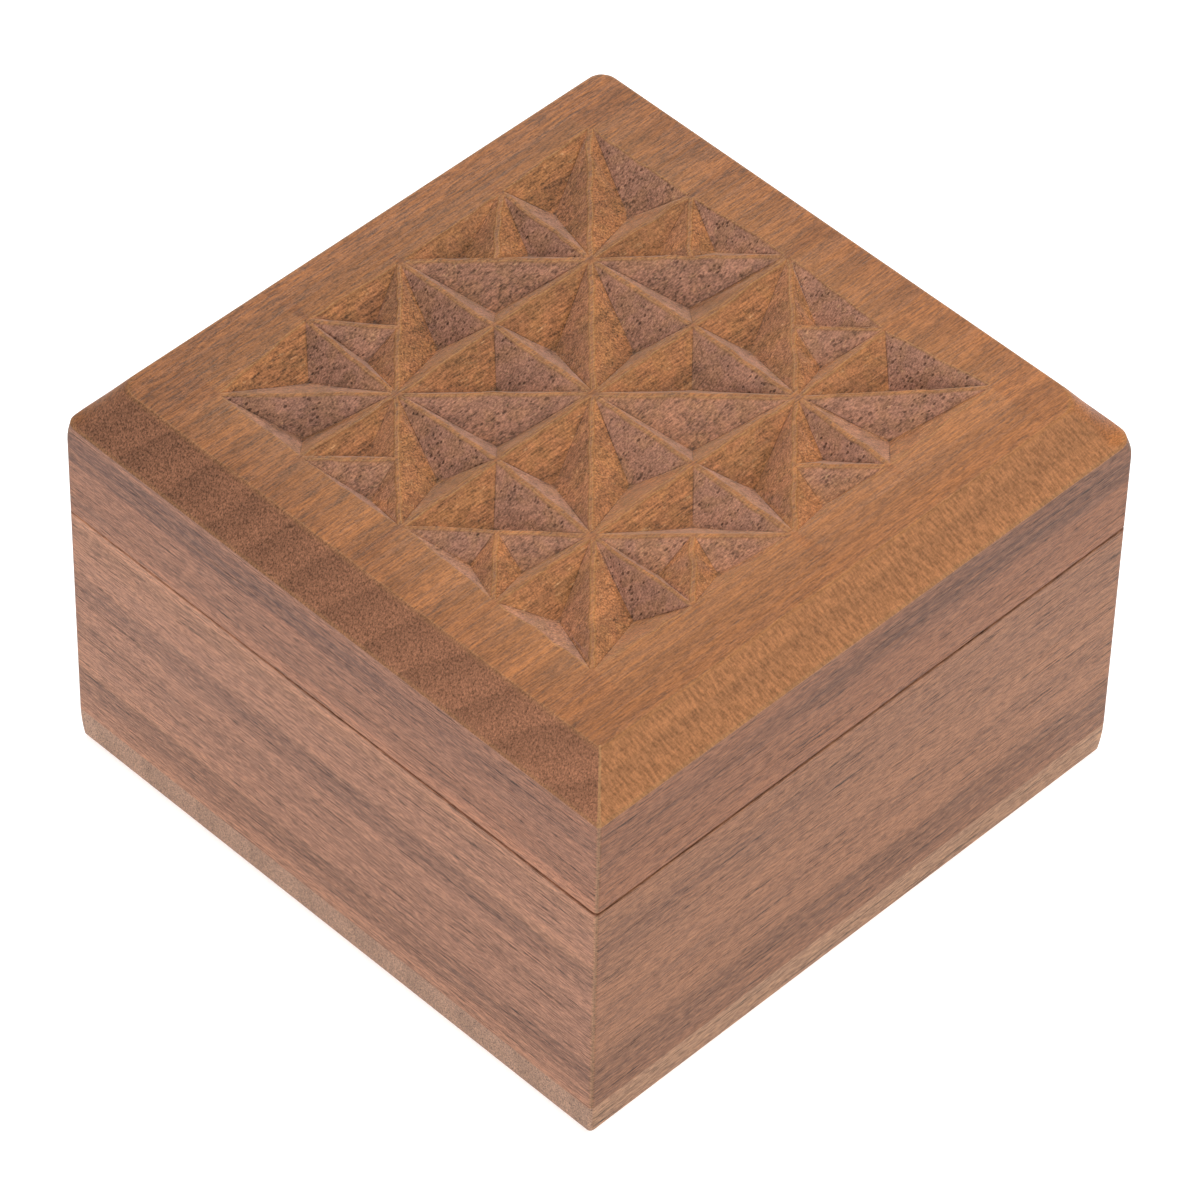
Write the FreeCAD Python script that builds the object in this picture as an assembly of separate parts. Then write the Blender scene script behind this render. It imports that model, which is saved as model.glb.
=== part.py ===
"""A small square wooden box with a hinged lid and a chip-carved top.

The case is four mitred walls on a planted base board. The lid is four mitred rails
under a bevelled board, whose top is carved with a grid of three-cornered chips. Two
brass butt hinges, let into the back wall and the back rail, carry the lid.

Millimetres, +Z up. The origin is the middle of the base's underside. The front is -Y,
the hinges are at +Y.
"""
import FreeCAD
import Part
import math
import os

# Case and lid, from the outside measures of the box
BOX_WIDTH = 90.0
BOX_DEPTH = 90.0
WALL_THICKNESS = 7.0
BASE_THICKNESS = 5.0
WALL_HEIGHT = 34.55
SEAM_GAP = 0.1
SEAM_FALL = 0.28
RAIL_HEIGHT = 14.55
BOARD_THICKNESS = 6.3
BEVEL_INSET = 4.7
BEVEL_LAND = 0.3
CORNER_RADIUS = 0.6
RUBBED_RADIUS = 0.9
FOOT_RADIUS = 1.3
SEAM_BREAK = 0.12

# Chip carving: a grid of square cells, each split into two right-angled chips
CARVED_CELLS = 4
CARVED_CELL = 16.3
LAND_WIDTH = 0.4
CHIP_DEPTH = 3.6

# Hinges: two leaves, three knuckles and a pin each
HINGE_LENGTH = 20.0
HINGE_INSET = 23.0
LEAF_DEPTH = 6.0
LEAF_THICKNESS = 0.9
BARREL_RADIUS = 1.6
BARREL_CLEARANCE = 0.2
PIN_RADIUS = 0.8
PIN_CLEARANCE = 0.05
PIN_DOME = 0.3
PIN_FLAT_RADIUS = 0.4
KNUCKLE_GAP = 0.1

# Countersunk screws of the hinges
SCREW_SPACING = 12.0
SCREW_SETBACK = 3.0
SCREW_HEAD_RADIUS = 1.6
SCREW_SHANK_RADIUS = 0.85
SCREW_LENGTH = 7.5
SCREW_POINT = 1.8
PILOT_CLEARANCE = 0.05
SLOT_WIDTH = 0.45
SLOT_DEPTH = 0.35

# Levels and planes that several pieces share
HALF_WIDTH = BOX_WIDTH / 2
HALF_DEPTH = BOX_DEPTH / 2
WALL_TOP = BASE_THICKNESS + WALL_HEIGHT
LID_FOOT = WALL_TOP + SEAM_GAP
RAIL_TOP = LID_FOOT + RAIL_HEIGHT
BOX_TOP = RAIL_TOP + BOARD_THICKNESS
HINGE_PLACE = HALF_WIDTH - HINGE_INSET
AXIS_Y = HALF_DEPTH + BARREL_RADIUS + BARREL_CLEARANCE
AXIS_Z = WALL_TOP + SEAM_GAP / 2
OVERCUT = 1.0

X_AXIS = FreeCAD.Vector(1, 0, 0)
Z_AXIS = FreeCAD.Vector(0, 0, 1)


def point(x, y, z):
    return FreeCAD.Vector(x, y, z)


def block(x0, x1, y0, y1, z0, z1):
    return Part.makeBox(x1 - x0, y1 - y0, z1 - z0, point(x0, y0, z0))


def plan_block(z0, z1):
    """The square-cornered plan of the box between two heights."""
    return block(-HALF_WIDTH, HALF_WIDTH, -HALF_DEPTH, HALF_DEPTH, z0, z1)


def prism(corners, z0, z1):
    """An upright solid on a flat outline given as (x, y) corners."""
    ring = [point(x, y, z0) for x, y in corners]
    return Part.Face(Part.makePolygon(ring + ring[:1])).extrude(point(0, 0, z1 - z0))


def level_edges(shape, z):
    """The outer edges of a box that lie all round at one height."""
    return [e for e in shape.Edges if all(abs(v.Z - z) < 1e-6 for v in e.Vertexes)]


def rounded_block(z0, z1):
    """The whole plan of the box between two heights: one upright corner crisp, three rubbed round."""
    whole = plan_block(z0, z1)
    upright = [e for e in whole.Edges if abs(e.Vertexes[0].Z - e.Vertexes[1].Z) > 1e-6]
    upright.sort(key=lambda edge: edge.CenterOfMass.x + edge.CenterOfMass.y)
    rubbed = whole.makeFillet(RUBBED_RADIUS, upright[1:])
    near = min(rubbed.Edges, key=lambda edge: edge.CenterOfMass.x + edge.CenterOfMass.y)
    return rubbed.makeFillet(CORNER_RADIUS, [near])


def seam_slope():
    """What lies over the case: its top edge falls to the front, so the seam opens there."""
    reach = HALF_DEPTH + OVERCUT
    spare = SEAM_FALL * OVERCUT / BOX_DEPTH
    x = -HALF_WIDTH - OVERCUT
    ring = [point(x, reach, WALL_TOP + spare), point(x, -reach, WALL_TOP - SEAM_FALL - spare),
            point(x, -reach, WALL_TOP + 2 * OVERCUT), point(x, reach, WALL_TOP + 2 * OVERCUT)]
    return Part.Face(Part.makePolygon(ring + ring[:1])).extrude(X_AXIS * 2 * (HALF_WIDTH + OVERCUT))


def case_envelope():
    shape = rounded_block(0, WALL_TOP + OVERCUT)
    shape = shape.makeFillet(FOOT_RADIUS, level_edges(shape, 0))
    shape = shape.cut(seam_slope())
    top = max(shape.Faces, key=lambda face: face.CenterOfMass.z)
    return shape.makeChamfer(SEAM_BREAK, top.Edges)


def lid_envelope():
    shape = rounded_block(LID_FOOT, RAIL_TOP)
    return shape.makeChamfer(SEAM_BREAK, level_edges(shape, LID_FOOT))


def mitred_sides(envelope, z0, z1):
    """The four sides of a frame, cut at 45 degrees where they meet."""
    ox, oy = HALF_WIDTH, HALF_DEPTH
    ix, iy = ox - WALL_THICKNESS, oy - WALL_THICKNESS
    outlines = {
        "front": [(-ox, -oy), (ox, -oy), (ix, -iy), (-ix, -iy)],
        "right": [(ox, -oy), (ox, oy), (ix, iy), (ix, -iy)],
        "back": [(ox, oy), (-ox, oy), (-ix, iy), (ix, iy)],
        "left": [(-ox, oy), (-ox, -oy), (-ix, -iy), (-ix, iy)],
    }
    return {side: envelope.common(prism(ring, z0, z1)) for side, ring in outlines.items()}


def chip(right_angle, leg_x, leg_y):
    """The wood taken out of one chip: three facets that meet at its deepest point."""
    x, y = right_angle
    leg = CARVED_CELL
    hypotenuse = leg * math.sqrt(2)
    inradius = (2 * leg - hypotenuse) / 2
    centre = point(x + leg_x * inradius, y + leg_y * inradius, BOX_TOP)
    corners = [point(x, y, BOX_TOP), point(x + leg_x * leg, y, BOX_TOP), point(x, y + leg_y * leg, BOX_TOP)]
    inset = 1 - LAND_WIDTH / 2 / inradius
    spread = inset * (CHIP_DEPTH + OVERCUT) / CHIP_DEPTH
    rim = [centre + (c - centre) * spread + Z_AXIS * OVERCUT for c in corners]
    low = centre - Z_AXIS * CHIP_DEPTH
    rings = [rim] + [[rim[i], rim[(i + 1) % 3], low] for i in range(3)]
    faces = [Part.Face(Part.makePolygon(ring + ring[:1])) for ring in rings]
    solid = Part.Solid(Part.Shell(faces))
    if solid.Volume < 0:
        solid.reverse()
    return solid


def chips():
    """Chips stand with their right angles on every second crossing of the grid."""
    start = -CARVED_CELLS * CARVED_CELL / 2
    found = []
    for i in range(CARVED_CELLS + 1):
        for j in range(CARVED_CELLS + 1):
            if (i + j) % 2 == 0:
                continue
            corner = (start + i * CARVED_CELL, start + j * CARVED_CELL)
            for leg_x in (-1, 1):
                for leg_y in (-1, 1):
                    if 0 <= i + leg_x <= CARVED_CELLS and 0 <= j + leg_y <= CARVED_CELLS:
                        found.append(chip(corner, leg_x, leg_y))
    return found


def lid_board():
    """The bevelled board, a frustum on a narrow land, with the chips cut from its top."""
    land_top = RAIL_TOP + BEVEL_LAND
    land = plan_block(RAIL_TOP, land_top)
    rings = []
    for inset, z in ((0, land_top), (BEVEL_INSET, BOX_TOP)):
        x, y = HALF_WIDTH - inset, HALF_DEPTH - inset
        ring = [point(-x, -y, z), point(x, -y, z), point(x, y, z), point(-x, y, z)]
        rings.append(Part.makePolygon(ring + ring[:1]))
    frustum = Part.makeLoft(rings, True, True)
    board = land.fuse(frustum).removeSplitter()
    board = board.common(rounded_block(RAIL_TOP, BOX_TOP))
    return board.cut(chips())


def barrel(x0, x1, radius):
    return Part.makeCylinder(radius, x1 - x0, point(x0, AXIS_Y, AXIS_Z), X_AXIS)


def knuckle_spans(middle):
    """Where the three knuckles of a hinge start and end along the pin."""
    step = HINGE_LENGTH / 3
    start = middle - HINGE_LENGTH / 2
    return [(start + k * step, start + (k + 1) * step) for k in range(3)]


def screw_points(middle):
    y = HALF_DEPTH - SCREW_SETBACK
    return [(middle + side * SCREW_SPACING / 2, y) for side in (-1, 1)]


def head_height():
    return SCREW_HEAD_RADIUS - SCREW_SHANK_RADIUS


def screw(x, y, face_z, down):
    """A countersunk screw with its head flush in a leaf; down is -1, or 1 for the lid."""
    way = Z_AXIS * down
    shank_end = SCREW_LENGTH - SCREW_POINT
    head = Part.makeCone(SCREW_HEAD_RADIUS, SCREW_SHANK_RADIUS, head_height(), point(x, y, face_z), way)
    shank_start = point(x, y, face_z) + way * head_height()
    shank = Part.makeCylinder(SCREW_SHANK_RADIUS, shank_end - head_height(), shank_start, way)
    tip = Part.makeCone(SCREW_SHANK_RADIUS, 0, SCREW_POINT, point(x, y, face_z) + way * shank_end, way)
    body = head.fuse([shank, tip]).removeSplitter()
    slot_z = sorted((face_z, face_z + down * SLOT_DEPTH))
    wide = SCREW_HEAD_RADIUS + OVERCUT
    slot = block(x - wide, x + wide, y - SLOT_WIDTH / 2, y + SLOT_WIDTH / 2, *slot_z)
    return body.cut(slot)


def screw_bore(x, y, face_z, down):
    """The room for a screw: the seat of its head, and a pilot hole down the wood."""
    way = Z_AXIS * down
    seat = Part.makeCone(SCREW_HEAD_RADIUS, SCREW_SHANK_RADIUS, head_height(), point(x, y, face_z), way)
    radius = SCREW_SHANK_RADIUS + PILOT_CLEARANCE
    pilot = Part.makeCylinder(radius, SCREW_LENGTH + PILOT_CLEARANCE, point(x, y, face_z), way)
    return seat.fuse(pilot)


def leaf(middle, face_z, down, own, bore_radius):
    """One hinge leaf: a plate in the edge of the wood, and its share of the knuckles."""
    spans = knuckle_spans(middle)
    z0, z1 = sorted((face_z, face_z + down * LEAF_THICKNESS))
    x0, x1 = spans[0][0], spans[2][1]
    shape = block(x0, x1, HALF_DEPTH - LEAF_DEPTH, HALF_DEPTH, z0, z1)
    for k in own:
        start = spans[k][0] + (KNUCKLE_GAP / 2 if k > 0 else 0)
        end = spans[k][1] - (KNUCKLE_GAP / 2 if k < 2 else 0)
        neck = block(start, end, HALF_DEPTH, AXIS_Y, z0, z1)
        shape = shape.fuse([neck, barrel(start, end, BARREL_RADIUS)])
    shape = shape.removeSplitter().cut(barrel(x0 - OVERCUT, x1 + OVERCUT, bore_radius))
    return shape.cut([screw_bore(x, y, face_z, down) for x, y in screw_points(middle)])


def pin(middle):
    """A plain pin whose ends are peened to low domes outside the knuckles."""
    x0, x1 = middle - HINGE_LENGTH / 2, middle + HINGE_LENGTH / 2
    shape = barrel(x0, x1, PIN_RADIUS)
    left = Part.makeCone(PIN_RADIUS, PIN_FLAT_RADIUS, PIN_DOME, point(x0, AXIS_Y, AXIS_Z), X_AXIS * -1)
    right = Part.makeCone(PIN_RADIUS, PIN_FLAT_RADIUS, PIN_DOME, point(x1, AXIS_Y, AXIS_Z), X_AXIS)
    return shape.fuse([left, right])


def mortise(middle, face_z, down):
    z0, z1 = sorted((face_z, face_z + down * LEAF_THICKNESS))
    half = HINGE_LENGTH / 2
    return block(middle - half, middle + half, HALF_DEPTH - LEAF_DEPTH, HALF_DEPTH + OVERCUT, z0, z1)


def fit_hinges(wood, face_z, down):
    """Cuts the leaf mortises and the pilot holes of both hinges in one piece of wood."""
    for middle in (-HINGE_PLACE, HINGE_PLACE):
        wood = wood.cut(mortise(middle, face_z, down))
        wood = wood.cut([screw_bore(x, y, face_z, down) for x, y in screw_points(middle)])
    return wood


def build():
    case = case_envelope()
    nodes = {"base_board": case.common(plan_block(0, BASE_THICKNESS))}
    for side, wood in mitred_sides(case, BASE_THICKNESS, WALL_TOP).items():
        nodes["wall_" + side] = wood
    for side, wood in mitred_sides(lid_envelope(), LID_FOOT, RAIL_TOP).items():
        nodes["lid_rail_" + side] = wood
    nodes["lid_board"] = lid_board()
    nodes["wall_back"] = fit_hinges(nodes["wall_back"], WALL_TOP, -1)
    nodes["lid_rail_back"] = fit_hinges(nodes["lid_rail_back"], LID_FOOT, 1)
    case_screws = []
    lid_screws = []
    for name, middle in (("left", -HINGE_PLACE), ("right", HINGE_PLACE)):
        nodes[f"hinge_{name}_case_leaf"] = leaf(middle, WALL_TOP, -1, (0, 2), PIN_RADIUS)
        nodes[f"hinge_{name}_lid_leaf"] = leaf(middle, LID_FOOT, 1, (1,), PIN_RADIUS + PIN_CLEARANCE)
        nodes[f"hinge_{name}_pin"] = pin(middle)
        case_screws += [screw(x, y, WALL_TOP, -1) for x, y in screw_points(middle)]
        lid_screws += [screw(x, y, LID_FOOT, 1) for x, y in screw_points(middle)]
    nodes["case_hinge_screws"] = Part.makeCompound(case_screws)
    nodes["lid_hinge_screws"] = Part.makeCompound(lid_screws)
    return nodes


os.makedirs("parts", exist_ok=True)
for node, shape in build().items():
    print(f"{node}: {len(shape.Solids)} solid(s), {shape.Volume / 1000:.2f} cm3, valid {shape.isValid()}")
    shape.exportStep(f"parts/{node}.step")
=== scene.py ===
# %% [markdown]
# A small square walnut box with a hinged lid and a chip-carved top. The walls, rails, base
# and hinges are already true to size in the frame, so this lesson gives them their wood and
# brass, models again the piece where the maker's hand shows, which is the carved lid board,
# and rubs some corners round.

import bmesh
import bpy
import math
import random
from mathutils import Matrix, Vector, geometry, noise


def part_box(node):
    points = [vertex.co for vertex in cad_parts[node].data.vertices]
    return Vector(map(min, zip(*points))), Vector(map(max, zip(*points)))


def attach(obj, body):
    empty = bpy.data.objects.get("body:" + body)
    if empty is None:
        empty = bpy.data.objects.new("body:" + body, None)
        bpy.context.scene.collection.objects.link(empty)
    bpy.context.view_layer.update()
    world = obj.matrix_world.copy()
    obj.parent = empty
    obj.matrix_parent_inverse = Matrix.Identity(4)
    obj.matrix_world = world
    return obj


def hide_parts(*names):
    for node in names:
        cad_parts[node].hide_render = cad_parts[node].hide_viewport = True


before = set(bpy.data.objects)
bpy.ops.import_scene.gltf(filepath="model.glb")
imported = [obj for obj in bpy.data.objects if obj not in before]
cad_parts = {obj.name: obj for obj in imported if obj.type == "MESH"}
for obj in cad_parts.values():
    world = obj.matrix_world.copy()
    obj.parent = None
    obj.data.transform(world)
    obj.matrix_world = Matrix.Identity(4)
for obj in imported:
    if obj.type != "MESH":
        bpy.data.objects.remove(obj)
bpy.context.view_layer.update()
MM = 0.001

# %% [markdown]
# The photograph looks down on the near corner with a long lens from rather less than a metre.
# A camera is placed by the direction to its eye, its distance and a slight roll, which reads
# better than a matrix. The roll is kept because the real camera was not quite level.

# %% Camera at the photograph's angle
VIEW_AZIMUTH = -136.0
VIEW_ELEVATION = 46.18
VIEW_ROLL = 1.58
VIEW_DISTANCE = 0.8645
VIEW_TARGET = Vector((0.00068, -0.00007, 0.0248))
VIEW_LENS = 213.2


def place_camera():
    azimuth, elevation = math.radians(VIEW_AZIMUTH), math.radians(VIEW_ELEVATION)
    toward = Vector((math.cos(elevation) * math.cos(azimuth),
                     math.cos(elevation) * math.sin(azimuth), math.sin(elevation)))
    turn = toward.to_track_quat("Z", "Y").to_matrix().to_4x4()
    roll = Matrix.Rotation(math.radians(VIEW_ROLL), 4, "Z")
    data = bpy.data.cameras.new("view")
    data.lens = VIEW_LENS
    data.sensor_width = 36.0
    data.clip_start = 0.01
    eye = bpy.data.objects.new("view", data)
    eye.matrix_world = Matrix.Translation(VIEW_TARGET + toward * VIEW_DISTANCE) @ turn @ roll
    bpy.context.scene.collection.objects.link(eye)
    bpy.context.scene.camera = eye
    return eye


camera = place_camera()
print("camera stands at", [round(c, 3) for c in camera.matrix_world.translation])

# %% [markdown]
# Product light: a white floor that glows a little, a big window behind the box, a smaller one to
# the right, a reflector in front and a soft lamp overhead. Facets that face a window stay golden
# and those turned from it go dark, which is what makes chip carving read.

# %% Light and floor
SURROUND = 0.08
LAMPS = {
    "overhead": (Vector((0.0, 0.0, 1.1)), 0.6, 3.75),
    "back window": (Vector((0.60, 0.65, 0.70)), 0.6, 7.8),
    "right window": (Vector((0.85, -0.65, 0.70)), 0.5, 4.4),
    "front reflector": (Vector((-0.75, -0.75, 0.60)), 0.6, 5.7),
}
LAMP_AIM = Vector((0.0, 0.0, 0.03))
FLOOR_SIZE = 6.0
FLOOR_LEVEL = -0.0001
FLOOR_TONE = (0.86, 0.86, 0.86, 1.0)
FLOOR_GLOW = 0.64


def build_stage():
    scene = bpy.context.scene
    scene.view_settings.view_transform = "Standard"
    world = bpy.data.worlds.new("surround")
    scene.world = world
    world.use_nodes = True
    world.node_tree.nodes["Background"].inputs["Color"].default_value = (1.0, 1.0, 1.0, 1.0)
    world.node_tree.nodes["Background"].inputs["Strength"].default_value = SURROUND
    for name, (place, size, power) in LAMPS.items():
        data = bpy.data.lights.new(name, "AREA")
        data.size = size
        data.energy = power
        lamp = bpy.data.objects.new(name, data)
        lamp.location = place
        lamp.rotation_euler = (place - LAMP_AIM).to_track_quat("Z", "Y").to_euler()
        scene.collection.objects.link(lamp)
    half = FLOOR_SIZE / 2
    mesh = bpy.data.meshes.new("floor")
    corners = [(-half, -half), (half, -half), (half, half), (-half, half)]
    mesh.from_pydata([(x, y, FLOOR_LEVEL) for x, y in corners], [], [(0, 1, 2, 3)])
    floor = bpy.data.objects.new("floor", mesh)
    scene.collection.objects.link(floor)
    paper = bpy.data.materials.new("floor_paper")
    paper.use_nodes = True
    shader = paper.node_tree.nodes["Principled BSDF"]
    shader.inputs["Base Color"].default_value = FLOOR_TONE
    shader.inputs["Roughness"].default_value = 0.9
    shader.inputs["Emission Color"].default_value = (1.0, 1.0, 1.0, 1.0)
    shader.inputs["Emission Strength"].default_value = FLOOR_GLOW
    mesh.materials.append(paper)


build_stage()
print("lamps:", ", ".join(LAMPS))

# %% [markdown]
# A shader tree is a graph, and long graphs are hard to read in code. This small helper adds a
# node, joins whatever sockets it is given and hands back the output, so that a finish below
# reads like a formula. Numbers go straight into the socket.

# %% A helper for shader graphs


class Graph:
    """Writes one material as a chain of calls; every call returns an output socket."""

    def __init__(self, name):
        self.material = bpy.data.materials.new(name)
        self.material.use_nodes = True
        self.tree = self.material.node_tree
        self.shader = self.tree.nodes["Principled BSDF"]

    def feed(self, socket, value):
        if isinstance(value, bpy.types.NodeSocket):
            self.tree.links.new(value, socket)
        elif value is not None:
            socket.default_value = value

    def node(self, kind, **settings):
        made = self.tree.nodes.new("ShaderNode" + kind)
        for key, value in settings.items():
            setattr(made, key, value)
        return made

    def math(self, operation, a, b=None, c=None):
        made = self.node("Math", operation=operation)
        for socket, value in zip(made.inputs, (a, b, c)):
            self.feed(socket, value)
        return made.outputs[0]

    def vector(self, x, y, z):
        made = self.node("CombineXYZ")
        for socket, value in zip(made.inputs, (x, y, z)):
            self.feed(socket, value)
        return made.outputs[0]

    def split(self, vector):
        made = self.node("SeparateXYZ")
        self.feed(made.inputs[0], vector)
        return made.outputs

    def noise(self, vector, scale=1.0, detail=2.0, roughness=0.5):
        made = self.node("TexNoise")
        self.feed(made.inputs["Vector"], vector)
        self.feed(made.inputs["Scale"], scale)
        self.feed(made.inputs["Detail"], detail)
        self.feed(made.inputs["Roughness"], roughness)
        return made.outputs["Fac"]

    def cells(self, vector):
        """Distance to the nearest of the points that are strewn about, one to each unit cell."""
        made = self.node("TexVoronoi")
        self.feed(made.inputs["Vector"], vector)
        self.feed(made.inputs["Scale"], 1.0)
        return made.outputs["Distance"]

    def ease(self, value, low, high, to_low=0.0, to_high=1.0):
        made = self.node("MapRange", interpolation_type="SMOOTHSTEP")
        for socket, v in zip(made.inputs, (value, low, high, to_low, to_high)):
            self.feed(socket, v)
        return made.outputs[0]

    def scaled(self, vector, factor):
        made = self.node("VectorMath", operation="SCALE")
        self.feed(made.inputs[0], vector)
        self.feed(made.inputs["Scale"], factor)
        return made.outputs[0]

    def tinted(self, colour, tone):
        made = self.node("VectorMath", operation="MULTIPLY")
        self.feed(made.inputs[0], colour)
        self.feed(made.inputs[1], tone)
        return made.outputs[0]

    def blend(self, share, a, b):
        """Two colours mixed; the node keeps its colour sockets at 6 and 7, and the result at 2."""
        made = self.node("Mix", data_type="RGBA")
        for socket, value in ((made.inputs[0], share), (made.inputs[6], a), (made.inputs[7], b)):
            self.feed(socket, value)
        return made.outputs[2]

    def bump(self, height, strength, distance):
        made = self.node("Bump")
        self.feed(made.inputs["Strength"], strength)
        self.feed(made.inputs["Distance"], distance)
        self.feed(made.inputs["Height"], height)
        return made.outputs["Normal"]

    def attribute(self, name):
        return self.node("Attribute", attribute_name=name).outputs["Fac"]


print("graph helper ready")

# %% [markdown]
# Walnut is a solid, not a skin: rings lie round a pith that the board was sawn from, and the
# pores are long tubes along the grain. Working the figure out in three dimensions means that
# the same pores are dashes on a face, and dots where a bevel or a chip cuts across them.

# %% A board as a solid
WANDER = 5.0


def srgb(red, green, blue):
    """A colour picked on a screen, as the linear light that a shader wants."""
    def linear(c):
        c /= 255
        return c / 12.92 if c <= 0.04045 else ((c + 0.055) / 1.055) ** 2.4
    return (linear(red), linear(green), linear(blue), 1.0)


class Wood(Graph):
    """A board as a solid: u runs down the grain, v and z across it, all in millimetres."""

    def __init__(self, name, along, seed, dip, skew):
        super().__init__(name)
        place = self.node("TexCoord")
        x, y, self.z = self.split(self.scaled(place.outputs["Object"], 1 / MM))
        nx, ny, nz = self.split(place.outputs["Normal"])
        if along == "X":
            self.length, self.v, down, over = x, y, nx, ny
        else:
            self.length, self.v, down, over = y, x, ny, nx
        self.u = self.math("ADD", self.length, seed)
        self.solid = self.vector(self.u, self.v, self.z)
        lean = self.math("MULTIPLY_ADD", nz, math.tan(math.radians(dip)), down)
        lean = self.math("MULTIPLY_ADD", over, math.tan(math.radians(skew)), lean)
        self.tilt_u = self.math("ABSOLUTE", lean)
        self.tilt_v = self.math("ABSOLUTE", over)
        self.fibre = self.streaks(12.0, 0.30, 3.0, 0.62)
        self.thread = self.streaks(1.5, 0.19, 2.0, 0.6)
        self.speck = self.noise(self.solid, 3.6, 2.0, 0.65)

    def stretched(self, length, width):
        """The place measured in marks that are so long down the grain and so wide across it."""
        return self.vector(self.math("DIVIDE", self.u, length), self.math("DIVIDE", self.v, width),
                           self.math("DIVIDE", self.z, width))

    def streaks(self, length, width, detail=2.0, roughness=0.5):
        return self.noise(self.stretched(length, width), 1.0, detail, roughness)

    def radius(self, pith):
        """Distance from the pith, with a slow wander along the board."""
        dv = self.math("SUBTRACT", self.v, pith[0])
        dz = self.math("SUBTRACT", self.z, pith[1])
        square = self.math("MULTIPLY_ADD", dv, dv, self.math("MULTIPLY", dz, dz))
        return self.math("MULTIPLY_ADD", self.streaks(160.0, 16.0), WANDER, self.math("SQRT", square))

    def late_wood(self, radius, ring):
        """How far each place is through its year: slowly darker, then a sharp end."""
        year = self.math("FRACT", self.math("DIVIDE", radius, ring))
        return self.math("MULTIPLY", self.ease(year, 0.15, 0.90), self.ease(year, 1.0, 0.93))

    def pores(self, length, width, least, most):
        """Long thin tubes along the grain, crowded in some years and sparse in others."""
        size = self.ease(self.streaks(26.0, 1.8, 1.0), 0.34, 0.66, least, most)
        gap = self.math("SUBTRACT", self.cells(self.stretched(length, width)), size)
        return self.ease(gap, 0.06, -0.06)


print("board helper ready, wander in mm:", WANDER)

# %% [markdown]
# A finish is laid on in coats, each a small function: the years and their layers, dark bands
# (the lowest, along the foot of the walls, is painted shade), fibres, then what the tool left.
# Carved wood is dusty, torn and steeply figured, with painted shade in its creases and pits;
# planed wood is finer. Pores and wear come last; on the lid the wear is partly painted highlight.

# %% The walnut finish
GLOSS = 0.25
BUMP_STRENGTH = 0.55
BUMP_TALL = 0.12
BAND_BROWN = (104, 77, 69)
PORE_BROWN = (66, 40, 29)
# painted shade: the dark colour laid into the creases where facets meet
CREASE_SHADE_BROWN = (78, 50, 36)
CUT_DUST = (172, 138, 112)
END_DUST = (170, 127, 110)
BEVEL_GOLD = (171, 121, 82)
OLIVE = (150, 110, 60)
TORN_PALE = (204, 164, 118)
RUBBED_PALE = (190, 152, 118)
THREAD_TINT = (1.0, 1.03, 0.96)


def layered(w, radius, year, wood, figure, band, layers, seed):
    """Early and late wood of each year, under broad and then narrow layers of a darker brown."""
    early = [c * (1 + figure) for c in srgb(*wood)[:3]] + [1.0]
    late = [c * (1 - figure) for c in srgb(*wood)[:3]] + [1.0]
    colour = w.blend(year, early, late)
    deeper = [0.9 * c for c in band]
    for down, out, share, tint in ((0.005, 0.12, layers, band), (0.008, 0.55, 0.4 * layers, deeper)):
        place = w.vector(w.math("MULTIPLY", w.u, down), w.math("MULTIPLY", radius, out), seed)
        colour = w.blend(w.ease(w.noise(place, 1.0, 2.0), 0.40, 0.62, 0.0, share), colour, srgb(*tint))
    return colour


def banded(w, colour, darker):
    """Dark bands at their own heights, ragged, and fading from one end of the board to the other; the
    low band on the walls is painted shade.
    """
    for level, reach, share, start, stop in darker:
        near = w.ease(w.math("ABSOLUTE", w.math("SUBTRACT", w.z, level)), reach, 0.2 * reach)
        ragged = w.ease(w.streaks(60.0, 0.9, 3.0, 0.6), 0.34, 0.60, 0.15, 1.0)
        fading = w.ease(w.length, start, stop, 0.2 * share, share)
        near = w.math("MULTIPLY", w.math("MULTIPLY", near, ragged), fading)
        colour = w.blend(near, colour, srgb(*BAND_BROWN))
    return colour


def grain_shade(w, dashes):
    """Fibres of two lengths, and dark dashes among them."""
    fibres = w.ease(w.fibre, 0.32, 0.68, -0.12, 0.12)
    threads = w.ease(w.thread, 0.30, 0.70, -0.34, 0.34)
    dash = w.ease(w.streaks(12.0, 0.21, 1.0, 0.5), 0.38, 0.31, 0.0, dashes)
    return w.math("SUBTRACT", w.math("ADD", fibres, threads), dash)


def dusty_with_crease_shade(w, colour, cut, ends):
    """Dust on what was cut, most where the knife met the ends of the fibres; painted shade in the
    creases.
    """
    colour = w.blend(w.math("MULTIPLY", cut, 0.12), colour, srgb(*CUT_DUST))
    colour = w.blend(w.math("MULTIPLY", ends, 0.52), colour, srgb(*END_DUST))
    # painted shade: the creases where the facets meet are darkened
    crease = w.math("MULTIPLY", w.attribute("crease"), w.ease(w.speck, 0.25, 0.65, 0.45, 0.95))
    return w.blend(crease, colour, srgb(*CREASE_SHADE_BROWN))


def wild_bevels(w, colour, shade):
    """Wild grain on the long bevels stands up steeply."""
    side = w.ease(w.tilt_v, 0.55, 0.75)
    colour = w.blend(w.math("MULTIPLY", side, 0.45), colour, srgb(*BEVEL_GOLD))
    steep = w.vector(w.math("MULTIPLY_ADD", w.z, 0.4, w.u), w.math("MULTIPLY", w.z, 0.30), 0.0)
    lick = w.ease(w.noise(steep, 2.4, 3.0, 0.7), 0.34, 0.66, -0.28, 0.28)
    shade = w.math("MULTIPLY", shade, w.math("MULTIPLY_ADD", side, -0.8, 1.0))
    return colour, w.math("MULTIPLY_ADD", lick, side, shade)


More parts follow.
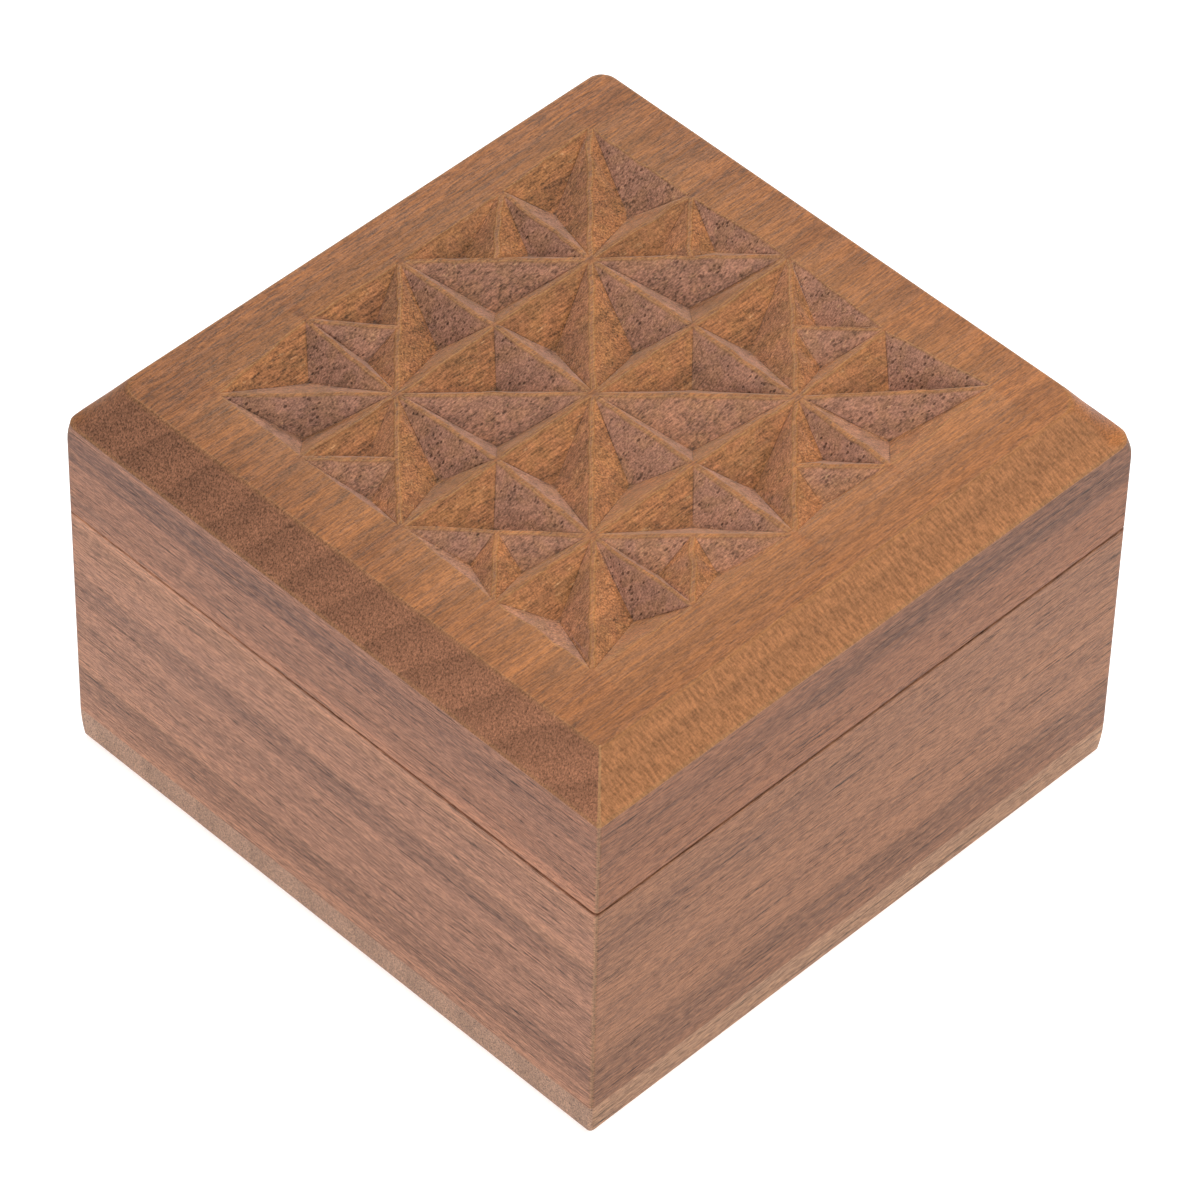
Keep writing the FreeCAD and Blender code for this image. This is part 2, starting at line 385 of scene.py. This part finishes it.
def torn(w, colour, cut):
    """Patches of greener wood, and pale fibres that the knife tore."""
    patch = w.ease(w.noise(w.solid, 0.35, 2.0), 0.44, 0.62, 0.0, 0.22)
    colour = w.blend(w.math("MULTIPLY", patch, cut), colour, srgb(*OLIVE))
    tear = w.ease(w.streaks(1.7, 0.42, 3.0, 0.7), 0.58, 0.76, 0.0, 0.50)
    return w.blend(w.math("MULTIPLY", tear, cut), colour, srgb(*TORN_PALE))


def cut_shade(w, shade, cut, ends, across, grit):
    """Grit, flecks and mottle on what was cut; painted shade darker down in the pits; darker toward the
    back.
    """
    land = w.math("MULTIPLY_ADD", across, 0.35, 0.45)
    rough = w.math("MULTIPLY_ADD", ends, -0.45, w.math("MAXIMUM", cut, land))
    shade = w.math("MULTIPLY_ADD", cut, 0.22, w.math("MULTIPLY_ADD", rough, grit, shade))
    # painted shade: the deeper in a pit, the darker
    shade = w.math("MULTIPLY_ADD", w.attribute("pit"), -0.30, shade)
    shade = w.math("ADD", shade, w.ease(w.v, -45.0, 45.0, 0.03, -0.22))
    fleck = w.ease(w.noise(w.solid, 6.5, 1.0), 0.66, 0.76, 0.0, 0.45)
    shade = w.math("MULTIPLY_ADD", fleck, rough, shade)
    mottle = w.ease(w.streaks(2.4, 0.9, 3.0, 0.65), 0.32, 0.68, -0.20, 0.20)
    return w.math("MULTIPLY_ADD", mottle, cut, shade)


def carved_look(w, colour, shade, grit, across, pore):
    """Chips are cut, not polished, and have the sheen of raised fibres."""
    cut = w.ease(w.attribute("pit"), 0.0, 0.06)
    ends = w.math("MULTIPLY", cut, w.ease(w.tilt_u, 0.25, 0.70))
    colour, shade = wild_bevels(w, dusty_with_crease_shade(w, colour, cut, ends), shade)
    colour = torn(w, colour, cut)
    shade = cut_shade(w, shade, cut, ends, across, grit)
    hole = w.math("MULTIPLY", w.pores(1.8, 0.62, 0.11, 0.27), w.math("MULTIPLY_ADD", ends, pore, 0.10))
    w.feed(w.shader.inputs["Sheen Weight"], w.math("MULTIPLY", cut, 0.30))
    w.shader.inputs["Sheen Roughness"].default_value = 0.3
    return colour, shade, hole


def planed_look(w, colour, shade, grit, wood, pore):
    """Planed and oiled: a finer grit, with threads of the plain wood colour."""
    shade = w.math("MULTIPLY_ADD", grit, 0.35, shade)
    thread = srgb(*[c * tint for c, tint in zip(wood, THREAD_TINT)])
    colour = w.blend(w.ease(w.thread, 0.45, 0.70, 0.0, 0.30), colour, thread)
    return colour, shade, w.math("MULTIPLY", w.pores(2.6, 0.24, 0.03, 0.26), pore)


def walnut(name, along, pith, ring, wood, figure, band, layers, end_grain, pore, end_late=0.94,
           dashes=0.50, dip=0.0, skew=0.0, seed=0.0, tone=(1.0, 1.0, 1.0), darker=(), worn=None,
           rubbed=RUBBED_PALE, carved=False):
    """One board's finish. along is the grain's axis; pith and ring are in millimetres."""
    w = Wood(name, along, seed, dip, skew)
    radius = w.radius(pith)
    year = w.late_wood(radius, ring)
    colour = banded(w, layered(w, radius, year, wood, figure, band, layers, seed), darker)
    # Cut across the fibres the wood drinks more oil and goes dark
    across = w.ease(w.tilt_u, 0.08, 0.80)
    end = w.blend(year, srgb(*end_grain), srgb(*[end_late * c for c in end_grain]))
    colour = w.blend(across, colour, end)
    shade = grain_shade(w, dashes)
    grit = w.ease(w.speck, 0.34, 0.66, -0.26, 0.30)
    if carved:
        colour, shade, hole = carved_look(w, colour, shade, grit, across, pore)
    else:
        colour, shade, hole = planed_look(w, colour, shade, grit, wood, pore)
    colour = w.blend(w.math("MULTIPLY", hole, 0.70), colour, srgb(*PORE_BROWN))
    colour = w.tinted(w.scaled(colour, w.math("ADD", shade, 1.0)), tone)
    # rubbed pale where worn; on the carved lid this also paints a highlight along the chip crests
    if worn is not None:
        rub = w.math("MULTIPLY", worn(w), w.ease(w.speck, 0.30, 0.60, 0.20, 0.65))
        colour = w.blend(rub, colour, srgb(*rubbed))
    w.feed(w.shader.inputs["Base Color"], colour)
    w.feed(w.shader.inputs["Roughness"], w.ease(w.fibre, 0.3, 0.7, 0.48, 0.64))
    w.shader.inputs["Specular IOR Level"].default_value = GLOSS
    height = w.math("MULTIPLY_ADD", w.thread, 0.35, w.math("MULTIPLY", w.fibre, 0.3))
    height = w.math("MULTIPLY_ADD", w.speck, 1.0 if carved else 0.4, height)
    height = w.math("MULTIPLY_ADD", hole, -0.8, height)
    w.feed(w.shader.inputs["Normal"], w.bump(height, BUMP_STRENGTH, BUMP_TALL * MM))
    return w.material


def lid_wear_and_highlight(w):
    """The carved board keeps its own record of where it is rubbed, and of the painted highlight along
    its chip crests.
    """
    return w.attribute("worn")


def corner_wear(w):
    """Handling polishes the upright corners, where the surface turns from one face to the next."""
    return w.ease(w.math("MULTIPLY", w.tilt_u, w.tilt_v), 0.25, 0.50, 0.0, 0.6)


print("coats ready, gloss:", GLOSS)

# %% [markdown]
# Every board was sawn from its own place in the tree, so each has its own pith, shift along the
# grain and tone. Two sides are seen in the photograph; the hidden two follow the same wood.

# %% Choose the boards
CASE_WOOD = dict(ring=8.0, wood=(170, 126, 102), band=(146, 108, 92), end_grain=(130, 92, 72),
                 pore=0.75, worn=corner_wear)
RAIL_WOOD = dict(ring=7.0, wood=(160, 114, 91), band=(138, 102, 86), end_grain=(126, 90, 72),
                 pore=0.75, worn=corner_wear)
BASE_WOOD = dict(ring=9.0, wood=(172, 131, 103), figure=0.08, band=(158, 119, 94), layers=0.4,
                 end_grain=(183, 145, 123), pore=0.5)
# the lid's rubbed colour is partly wear and partly painted highlight on the chip crests
LID_WOOD = dict(ring=5.0, wood=(164, 103, 56), figure=0.15, band=(138, 84, 44), layers=0.4,
                end_grain=(166, 113, 84), end_late=0.91, pore=0.95, dashes=0.08, dip=-5.0,
                skew=15.0, worn=lid_wear_and_highlight, rubbed=(194, 147, 96), carved=True)
# Each band: height, reach up and down, strength, and where along the board it starts and is full
# painted shade: the low band darkens each wall along its foot, just above the base
LOW_SHADE_BAND = (9.5, 6.0, 0.55, -60.0, -50.0)
FRONT_BAND = (33.0, 4.0, 0.45, 20.0, -30.0)
LEFT_BAND = (27.0, 3.4, 0.55, -60.0, -40.0)
RAIL_BAND = (50.8, 4.6, 0.85)
CASE_PITH = -70.0
RAIL_PITH = 150.0
SAWN_SHIFT = 17.0
RAIL_SHIFT = 5
SIDES = {
    "front": dict(along="X", pith_v=-60.0, fade=(-30.0, 20.0), figure=0.05, layers=0.28,
                  tone=(0.80, 0.71, 0.61), bands=(LOW_SHADE_BAND, FRONT_BAND)),
    "back": dict(along="X", pith_v=60.0, fade=(30.0, -20.0), figure=0.12, layers=0.5,
                 tone=(1.0, 0.95, 0.88), bands=(LOW_SHADE_BAND,)),
    "left": dict(along="Y", pith_v=-60.0, fade=(-50.0, 20.0), figure=0.16, layers=0.55,
                 tone=(1.15, 1.07, 1.02), bands=(LOW_SHADE_BAND, LEFT_BAND)),
    "right": dict(along="Y", pith_v=60.0, fade=(-30.0, 20.0), figure=0.12, layers=0.5,
                  tone=(1.0, 0.95, 0.88), bands=(LOW_SHADE_BAND,)),
}
finishes = {
    "lid_board": walnut("walnut_lid", "X", pith=(-120.0, -60.0), seed=3.0, **LID_WOOD),
    "base_board": walnut("walnut_base", "X", pith=(-150.0, 40.0), seed=11.0, **BASE_WOOD),
}
for side, cut in SIDES.items():
    shift = SAWN_SHIFT * len(finishes)
    shared = {key: cut[key] for key in ("along", "figure", "layers", "tone")}
    finishes["wall_" + side] = walnut("walnut_wall_" + side, pith=(cut["pith_v"], CASE_PITH), seed=shift,
                                      darker=cut["bands"], **shared, **CASE_WOOD)
    finishes["lid_rail_" + side] = walnut("walnut_rail_" + side, pith=(cut["pith_v"], RAIL_PITH),
                                          seed=shift + RAIL_SHIFT, darker=((*RAIL_BAND, *cut["fade"]),),
                                          **shared, **RAIL_WOOD)
print("walnut finishes:", len(finishes))

# %% [markdown]
# The hinges are plain stock brass that has dulled: warm metal, rougher where it was handled,
# with fine scratches along the leaf. Scratches are noise stretched one way.

# %% The brass finish
def brass(name, tone):
    g = Graph(name)
    place = g.scaled(g.node("TexCoord").outputs["Object"], 1 / MM)
    x, y, z = g.split(place)
    drawn = g.vector(g.math("MULTIPLY", x, 0.4), g.math("MULTIPLY", y, 9.0), g.math("MULTIPLY", z, 9.0))
    scratch = g.noise(drawn, 1.0, 3.0)
    tarnish = g.noise(place, 0.35, 4.0, 0.6)
    colour = g.blend(g.ease(tarnish, 0.42, 0.72), srgb(*tone), srgb(*[0.62 * c for c in tone]))
    g.feed(g.shader.inputs["Base Color"], colour)
    g.shader.inputs["Metallic"].default_value = 1.0
    g.feed(g.shader.inputs["Roughness"], g.ease(tarnish, 0.3, 0.7, 0.26, 0.5))
    g.feed(g.shader.inputs["Normal"], g.bump(scratch, 0.25, 0.03 * MM))
    return g.material


hinge_brass = brass("brass_hinge", (206, 170, 98))
screw_brass = brass("brass_screw", (216, 182, 110))
for node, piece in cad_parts.items():
    if node.startswith("hinge_"):
        finishes[node] = hinge_brass
    elif node.endswith("_screws"):
        finishes[node] = screw_brass
    piece.data.materials.clear()
    piece.data.materials.append(finishes[node])
print("finished pieces:", len(finishes))

# %% [markdown]
# The lid board is the maker's work. Its top is set out on a four-by-four grid by eye, so the
# crossings stray. Each square is split corner to corner and each half is cut to a pit with
# three facets; the outer halves that touch the middle of a side are halved again.

# %% Set out the carving
CELLS = 4
CELL = 16.3
FIELD_SHIFT = Vector((-0.4, 0.6))
STRAYED = {(0, 0): (0.1, -1.9), (0, 4): (-0.2, 1.0), (4, 4): (2.3, 0.6), (4, 0): (0.4, 0.7),
           (1, 1): (-0.8, -0.3), (1, 3): (-0.6, 0.4), (3, 3): (0.3, -0.7), (3, 1): (-0.6, -0.1),
           (0, 2): (-1.1, -0.4), (2, 4): (0.9, 0.5), (2, 0): (0.5, 0.0), (1, 2): (-0.6, 0.1),
           (2, 2): (-0.4, 0.1)}
LAND_HALF = 0.09
LAND_JITTER = (-0.04, 0.10)
HEART_SHIFT = Vector((-0.6, -0.6))
EDGE_SHIFT = 0.6
SMALL_SHIFT = HEART_SHIFT * 0.7
SMALL_DEPTH = 0.68
HAND_SEED = 41
hand = random.Random(HAND_SEED)
noise.seed_set(HAND_SEED)


def crossing(i, j):
    """A crossing of the grid, counted from the left corner: i toward the front, j to the right."""
    stray = Vector(STRAYED.get((i, j), (0.0, 0.0)))
    return Vector(((j - CELLS / 2) * CELL, (CELLS / 2 - i) * CELL)) + FIELD_SHIFT + stray


def inset(corners, gap):
    """The triangle left when each side moves in by its own gap."""
    centre = sum(corners, Vector((0, 0))) / 3
    lines = []
    for k in range(3):
        a, b = corners[k], corners[(k + 1) % 3]
        inward = Vector((a.y - b.y, b.x - a.x)).normalized()
        if inward.dot(centre - a) < 0:
            inward = -inward
        lines.append((a + inward * gap[k], b + inward * gap[k]))
    rim = []
    for k in range(3):
        (a, b), (c, d) = lines[k - 1], lines[k]
        rim.append(geometry.intersect_line_line(a.to_3d(), b.to_3d(), c.to_3d(), d.to_3d())[0].to_2d())
    return rim


def set_out_chips():
    """Each chip as its rim, the stray of its deepest point and its share of the depth."""
    chips = []

    def add(corners, shift, share):
        gap = [LAND_HALF + hand.uniform(*LAND_JITTER) for _ in range(3)]
        chips.append((inset(corners, gap), shift, share))

    middles = [(0, CELLS // 2), (CELLS // 2, 0), (CELLS, CELLS // 2), (CELLS // 2, CELLS)]
    for i in range(CELLS + 1):
        for j in range(CELLS + 1):
            if (i + j) % 2 == 0:
                continue
            inward = Vector(((j == 0) - (j == CELLS), (i == CELLS) - (i == 0)))
            for di in (-1, 1):
                for dj in (-1, 1):
                    if not (0 <= i + di <= CELLS and 0 <= j + dj <= CELLS):
                        continue
                    a, b, c = crossing(i, j), crossing(i + di, j), crossing(i, j + dj)
                    if inward.length and ((i + di, j) in middles or (i, j + dj) in middles):
                        half = (b + c) / 2
                        add([half, a, b], SMALL_SHIFT, SMALL_DEPTH)
                        add([half, a, c], SMALL_SHIFT, SMALL_DEPTH)
                    else:
                        add([a, b, c], inward * EDGE_SHIFT if inward.length else HEART_SHIFT, 1.0)
    return chips


chips = set_out_chips()
print("chips set out:", len(chips))

# %% [markdown]
# Before anything is cut, the board is drawn as rings of points, one above the other, from its
# foot over the bevel to the flat top. Three of its corners are rubbed round, more on the bevel
# than at the foot.

# %% Draw the board's bevelled sides
BEVEL_INSET = 4.7
BEVEL_LAND = 0.3
ARC_STEPS = 8
EDGE_STEPS = 30
NEAR_CORNER = 3
NEAR_RUB = 1.0
NEAR_RUB_STEPS = 3
# Radius of each upright corner at the foot, on the bevel and at the top: right, back, left and near
CORNERS = ((2.6, 4.6, 3.6), (1.6, 2.8, 2.2), (1.9, 3.3, 2.8), (0.6, 0.4, 0.3))
BELLY = 0.25
board_low, board_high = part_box("lid_board")
HALF = board_high.x / MM
TOP = board_high.z / MM
FOOT = board_low.z / MM
# Each ring round the board: how far in from the outside, height and wear
RINGS = (
    (0.0, FOOT, 0.0),
    (0.0, FOOT + BEVEL_LAND * 0.5, 0.2),
    (0.12, FOOT + BEVEL_LAND, 0.5),
    (0.35, FOOT + BEVEL_LAND + 0.35, 0.0),
    (0.65, FOOT + BEVEL_LAND + 0.74, 0.0),
    (1.15, FOOT + BEVEL_LAND + 1.38, 0.0),
    (2.40, FOOT + BEVEL_LAND + 2.98, 0.0),
    (BEVEL_INSET - 0.45, TOP - 0.52, 0.0),
    (BEVEL_INSET - 0.12, TOP - 0.14, 0.25),
    (BEVEL_INSET + 0.06, TOP - 0.025, 0.45),
    (BEVEL_INSET + 0.30, TOP, 0.0),
)


def ring_points(inset_by, z):
    """A square ring with rounded corners, counter-clockwise from the front edge."""
    reach = HALF - inset_by
    share = max(0.0, (z - FOOT - BEVEL_LAND) / (TOP - FOOT - BEVEL_LAND))
    if share < BELLY:
        swell = 1 - (1 - share / BELLY) ** 2
        radii = [foot + (belly - foot) * swell for foot, belly, top in CORNERS]
    else:
        radii = [belly + (top - belly) * (share - BELLY) / (1 - BELLY) for foot, belly, top in CORNERS]
    points = []
    for k in range(4):
        turn = Matrix.Rotation(k * math.pi / 2, 2)
        centre = Vector((reach - radii[k], radii[k] - reach))
        spots = []
        for s in range(ARC_STEPS + 1):
            angle = (s / ARC_STEPS - 1) * math.pi / 2
            rubbed = k == NEAR_CORNER and abs(s - ARC_STEPS // 2) < NEAR_RUB_STEPS
            spot = centre + Vector((math.cos(angle), math.sin(angle))) * radii[k]
            spots.append((spot, NEAR_RUB if rubbed else 0.0))
        before = Vector((reach, radii[k] - reach))
        after = Vector((reach, reach - radii[(k + 1) % 4]))
        for s in range(1, EDGE_STEPS):
            spots.append((before.lerp(after, s / EDGE_STEPS), 0.0))
        points += [(turn @ spot, rub) for spot, rub in spots]
    return points


class Plan:
    """Gathers points with their attributes, and faces, before they become a mesh."""

    def __init__(self):
        self.points = []
        self.pit = []
        self.scoop = []
        self.worn = []
        self.crease = []
        self.faces = []

    def add(self, xy, z, pit=0.0, scoop=0.0, worn=0.0, crease=0.0):
        self.points.append((*xy, z))
        self.pit.append(pit)
        self.scoop.append(scoop)
        self.worn.append(worn)
        self.crease.append(crease)
        return len(self.points) - 1


def draw_sides(plan):
    """The foot, the land, the bevel and its worn edges, up to the ring that bounds the top."""
    rows = []
    for inset_by, z, worn in RINGS:
        row = []
        for spot, rub in ring_points(inset_by, z):
            row.append(plan.add(spot, z, worn=max(worn, rub)))
        rows.append(row)
    count = len(rows[0])
    for lower, upper in zip(rows, rows[1:]):
        for k in range(count):
            m = (k + 1) % count
            plan.faces.append((lower[k], lower[m], upper[m], upper[k]))
    plan.faces.append(tuple(reversed(rows[0])))
    return rows[-1]


plan = Plan()
top_ring = draw_sides(plan)
print("rings round the board:", len(RINGS), "of", len(top_ring), "points")

# %% [markdown]
# Each chip is drawn flat as well, in rows of points from its rim to its deepest place, and the
# lands between the rims are filled with triangles. How deep each point is to go is kept beside
# it as an attribute, so that a node tree can do the cutting later.

# %% Draw the chips and the lands
RIM_SHARES = (0.0, 0.02, 0.05, 0.10, 0.18, 0.28, 0.39, 0.5, 0.61, 0.72, 0.82, 0.90, 0.95, 0.98, 1.0)
ROWS = (0.0, 0.015, 0.04, 0.08, 0.16, 0.28, 0.42, 0.57, 0.72, 0.83, 0.92, 1.0)
# wear on the chip rims, and partly a painted highlight along the crests
RIM_WEAR_AND_HIGHLIGHT = {0.0: 0.2, 0.015: 1.0, 0.04: 0.4}
RIM_SOFTNESS = 0.03
FLOOR_SOFTNESS = 0.06
WAVER = 0.35
WAVER_PITCH = 2.6
RIM_JITTER = 0.02
HEART_JITTER = 0.6
DEPTH_JITTER = (0.88, 1.08)
HOLLOW = (-0.3, 1.0)
CREASE_RISE = 3


def facet_depth(t):
    """Depth along a facet, eased at the rim as a worn arris is, and rounded at the bottom."""
    return t - RIM_SOFTNESS * (1 - math.exp(-t / RIM_SOFTNESS)) * (1 - t) - FLOOR_SOFTNESS * t ** 8


def strayed(spot):
    """The knife's line is never quite straight; neighbours share the same stray."""
    return spot + WAVER * noise.noise_vector((spot / WAVER_PITCH).to_3d()).to_2d()


def draw_chip(plan, rim, shift, share):
    """Three facets as rows of points from the rim to the deepest point; returns the rim loop."""
    sides = [(rim[(k + 1) % 3] - rim[(k + 2) % 3]).length for k in range(3)]
    heart = sum((p * s for p, s in zip(rim, sides)), Vector((0, 0))) / sum(sides)
    slip = [hand.uniform(-HEART_JITTER, HEART_JITTER) for _ in range(2)]
    heart += shift + Vector(slip)
    deep = share * hand.uniform(*DEPTH_JITTER)
    low = plan.add(heart, TOP, pit=deep * facet_depth(1.0), crease=1.0)
    creases = []
    for corner in rim:
        crease = []
        for t in ROWS[:-1]:
            crease.append(plan.add(strayed(corner).lerp(heart, t), TOP, pit=deep * facet_depth(t),
                                   crease=min(1.0, CREASE_RISE * t)))
        creases.append(crease)
    loop = []
    for k in range(3):
        a, b = rim[k], rim[(k + 1) % 3]
        swing = Vector((a.y - b.y, b.x - a.x)).normalized()
        hollow = hand.uniform(*HOLLOW)
        columns = [creases[k]]
        for along in RIM_SHARES[1:-1]:
            start = strayed(a.lerp(b, along)) + swing * hand.uniform(-RIM_JITTER, RIM_JITTER)
            column = []
            for t in ROWS[:-1]:
                mid = 4 * along * (1 - along) * 4 * t * (1 - t)
                column.append(plan.add(start.lerp(heart, t), TOP, pit=deep * facet_depth(t),
                                       scoop=hollow * mid, worn=RIM_WEAR_AND_HIGHLIGHT.get(t, 0.0)))
            columns.append(column)
        columns.append(creases[(k + 1) % 3])
        for left, right in zip(columns, columns[1:]):
            for t in range(len(ROWS) - 2):
                plan.faces.append((left[t], left[t + 1], right[t + 1], right[t]))
            plan.faces.append((left[-1], low, right[-1]))
        loop += [column[0] for column in columns[:-1]]
    return loop


def turned_left(ring, spots):
    """The same ring, counter-clockwise, so that its inside is on the left."""
    area = sum(spots[a].cross(spots[b]) for a, b in zip(ring, ring[1:] + ring[:1]))
    return ring if area > 0 else ring[::-1]


def draw_lands(plan, border, loops):
    """Fills the flat top round the pits, with their rims as fixed lines."""
    used = border + [p for loop in loops for p in loop]
    number = {p: n for n, p in enumerate(used)}
    flat = [Vector(plan.points[p][:2]) for p in used]
    rings = [turned_left([number[p] for p in ring], flat) for ring in [border] + loops]
    made = geometry.delaunay_2d_cdt(flat, [], rings, 0, 1e-6)
    spots, triangles, sources, owners = made[0], made[2], made[3], made[5]
    for triangle, owner in zip(triangles, owners):
        if list(owner) == [0]:
            plan.faces.append(tuple(used[sources[v][0]] for v in triangle))
    return len(spots) - len(used)


rims = [draw_chip(plan, *chip) for chip in chips]
extra = draw_lands(plan, top_ring, rims)
print("board plan:", len(plan.points), "points,", len(plan.faces), "faces, stray points", extra)

# %% [markdown]
# Cutting is one rule for all the chips, so it is a Geometry Nodes tree: every point goes down
# by its share of the depth, facets get the shallow hollow and ripple that a knife leaves, and
# the depth, hollow and ripple are inputs to try out. The result is turned into a plain mesh.

# %% Cut the chips
CHIP_DEPTH = 3.6
SCOOP = 0.10
RIPPLE = 0.18
RIPPLE_PITCH = 1.1
RIPPLE_RISE = 6.0
SHARP_ANGLE = math.radians(22)


def cutting_tree(finish):
    tree = bpy.data.node_groups.new("chip_cutting", "GeometryNodeTree")
    sockets = {}
    face = tree.interface
    face.new_socket("Geometry", in_out="INPUT", socket_type="NodeSocketGeometry")
    for label in ("Depth", "Scoop", "Ripple", "Ripple scale"):
        sockets[label] = face.new_socket(label, in_out="INPUT", socket_type="NodeSocketFloat").identifier
    face.new_socket("Geometry", in_out="OUTPUT", socket_type="NodeSocketGeometry")

    def new(kind, **settings):
        made = tree.nodes.new(kind)
        for key, value in settings.items():
            setattr(made, key, value)
        return made

    def named(name):
        made = new("GeometryNodeInputNamedAttribute", data_type="FLOAT")
        made.inputs["Name"].default_value = name
        return made.outputs["Attribute"]

    def calc(operation, a, b):
        made = new("ShaderNodeMath", operation=operation)
        for socket, value in zip(made.inputs, (a, b)):
            if isinstance(value, bpy.types.NodeSocket):
                tree.links.new(value, socket)
            else:
                socket.default_value = value
        return made.outputs[0]

    entry = new("NodeGroupInput")
    leave = new("NodeGroupOutput")
    ripple = new("ShaderNodeTexNoise")
    place = new("GeometryNodeInputPosition")
    tree.links.new(place.outputs[0], ripple.inputs["Vector"])
    tree.links.new(entry.outputs["Ripple scale"], ripple.inputs["Scale"])
    ripple.inputs["Detail"].default_value = 2.0
    depth = calc("MULTIPLY", named("pit"), entry.outputs["Depth"])
    scoop = calc("MULTIPLY", named("scoop"), entry.outputs["Scoop"])
    wave = calc("MULTIPLY", calc("SUBTRACT", ripple.outputs["Fac"], 0.5), entry.outputs["Ripple"])
    inside = calc("MINIMUM", calc("MULTIPLY", named("pit"), RIPPLE_RISE), 1.0)
    rough = calc("MULTIPLY", wave, inside)
    drop = calc("ADD", calc("ADD", depth, scoop), rough)
    offset = new("ShaderNodeCombineXYZ")
    tree.links.new(calc("MULTIPLY", drop, -1.0), offset.inputs["Z"])
    move = new("GeometryNodeSetPosition")
    tree.links.new(entry.outputs["Geometry"], move.inputs["Geometry"])
    tree.links.new(offset.outputs[0], move.inputs["Offset"])
    real = new("GeometryNodeRealizeInstances")
    tree.links.new(move.outputs[0], real.inputs[0])
    dress = new("GeometryNodeSetMaterial")
    dress.inputs["Material"].default_value = finish
    tree.links.new(real.outputs[0], dress.inputs[0])
    tree.links.new(dress.outputs[0], leave.inputs[0])
    return tree, sockets


def cut_board(plan, finish):
    flat = bpy.data.meshes.new("lid_board_plan")
    flat.from_pydata([[c * MM for c in p] for p in plan.points], [], plan.faces)
    for name in ("pit", "scoop", "worn", "crease"):
        kept = flat.attributes.new(name, "FLOAT", "POINT")
        kept.data.foreach_set("value", getattr(plan, name))
    board = bpy.data.objects.new("carved_lid_board", flat)
    bpy.context.scene.collection.objects.link(board)
    tree, sockets = cutting_tree(finish)
    cutting = board.modifiers.new("cutting", "NODES")
    cutting.node_group = tree
    for label, value in (("Depth", CHIP_DEPTH * MM), ("Scoop", SCOOP * MM), ("Ripple", RIPPLE * MM),
                         ("Ripple scale", 1 / (RIPPLE_PITCH * MM))):
        cutting[sockets[label]] = value
    graph = bpy.context.evaluated_depsgraph_get()
    mesh = bpy.data.meshes.new_from_object(board.evaluated_get(graph))
    board.modifiers.clear()
    board.data = mesh
    mesh.shade_smooth()
    mesh.set_sharp_from_angle(angle=SHARP_ANGLE)
    return board


lid_board = cut_board(plan, finishes["lid_board"])
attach(lid_board, "lid")
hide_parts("lid_board")
print("carved board:", len(lid_board.data.polygons), "faces")

# %% [markdown]
# Hands and tables rub a box at its corners first. The rails and the base board are copied from
# the frame and sliced where they are worn; then each point that lies beyond a rounder corner is
# drawn in to it, a little more toward the worn end. The near corner has stayed crisp.

# %% Rub the corners round
UPRIGHT = 0.9
WORN_TALL = 2.6
FOOT_CORNERS = (2.3, 1.6, 2.1)
RAIL_CORNERS = [foot for foot, belly, top in CORNERS[:3]]
# Which way the right, back and left corners lie
OUTWARD = ((1, -1), (1, 1), (-1, 1))
SLICES = (0.0, 0.3, 0.5, 0.65, 0.8, 0.9)
ARC_SLICES = (0.1, 0.25, 0.45, 0.7, 1.0)


def rub_round(node, body, radii, sound, worn):
    """A copy of a frame piece whose corners grow rounder from one height to another, in mm."""
    shape = bmesh.new()
    shape.from_mesh(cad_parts[node].data)
    planes = [((0, 0, sound + (worn - sound) * share), (0, 0, 1)) for share in SLICES]
    for share in ARC_SLICES:
        for reach in (HALF - share * max(radii), share * max(radii) - HALF):
            planes += [((reach, 0, 0), (1, 0, 0)), ((0, reach, 0), (0, 1, 0))]
    for place, facing in planes:
        everything = shape.verts[:] + shape.edges[:] + shape.faces[:]
        bmesh.ops.bisect_plane(shape, geom=everything, plane_co=Vector(place) * MM, plane_no=facing)
    for point in shape.verts:
        share = min(1.0, max(0.0, (point.co.z / MM - sound) / (worn - sound)))
        for (sx, sy), most in zip(OUTWARD, radii):
            radius = UPRIGHT + (most - UPRIGHT) * share ** 2
            centre = Vector((sx, sy)) * (HALF - radius)
            out = point.co.to_2d() / MM - centre
            if out.x * sx > 0 and out.y * sy > 0 and out.length > radius:
                point.co.xy = (centre + out.normalized() * radius) * MM
    mesh = bpy.data.meshes.new("rubbed_" + node)
    shape.to_mesh(mesh)
    shape.free()
    mesh.materials.append(finishes[node])
    mesh.shade_smooth()
    mesh.set_sharp_from_angle(angle=SHARP_ANGLE)
    piece = bpy.data.objects.new("rubbed_" + node, mesh)
    bpy.context.scene.collection.objects.link(piece)
    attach(piece, body)
    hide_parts(node)


for side in SIDES:
    rub_round("lid_rail_" + side, "lid", RAIL_CORNERS, FOOT - WORN_TALL, FOOT)
base_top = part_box("base_board")[1].z / MM
rub_round("base_board", "case", FOOT_CORNERS, base_top, 0.0)
print("rubbed pieces:", len(SIDES) + 1)
